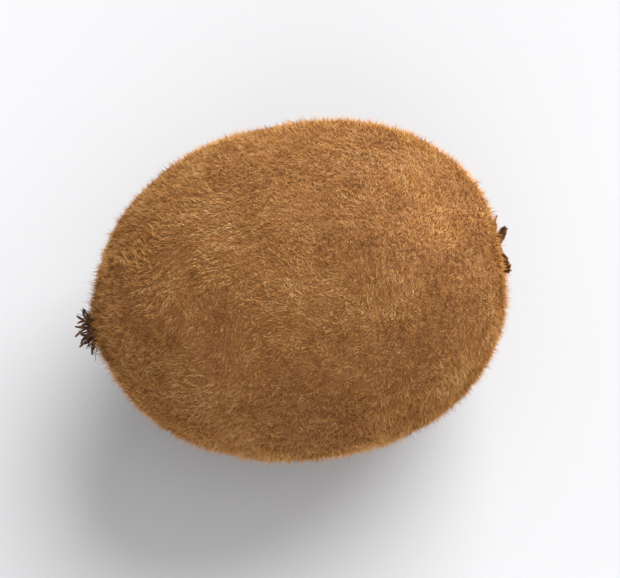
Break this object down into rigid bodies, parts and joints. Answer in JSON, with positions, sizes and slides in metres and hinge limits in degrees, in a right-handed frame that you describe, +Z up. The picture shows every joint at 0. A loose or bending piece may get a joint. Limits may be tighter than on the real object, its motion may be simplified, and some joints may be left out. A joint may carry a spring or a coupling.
{
  "type": "kiwifruit",
  "caption": "Whole fuzzy brown kiwifruit lying on its side, with a dried calyx at the stem end and dried styles at the blossom end.",
  "frame": {"origin": "middle of the small flat spot the fruit rests on", "axes": "+X along the fruit towards the stem end, -X towards the blossom end, +Z up from the flat spot, +Y across the fruit"},
  "size_m": [0.0697, 0.0525, 0.048],
  "materials": {
    "skin": "matte",
    "dry_calyx": "matte",
    "dry_styles": "matte"
  },
  "bodies": {
    "root": {"fruit": "skin", "calyx": "dry_calyx", "styles": "dry_styles"}
  },
  "joints": []
}
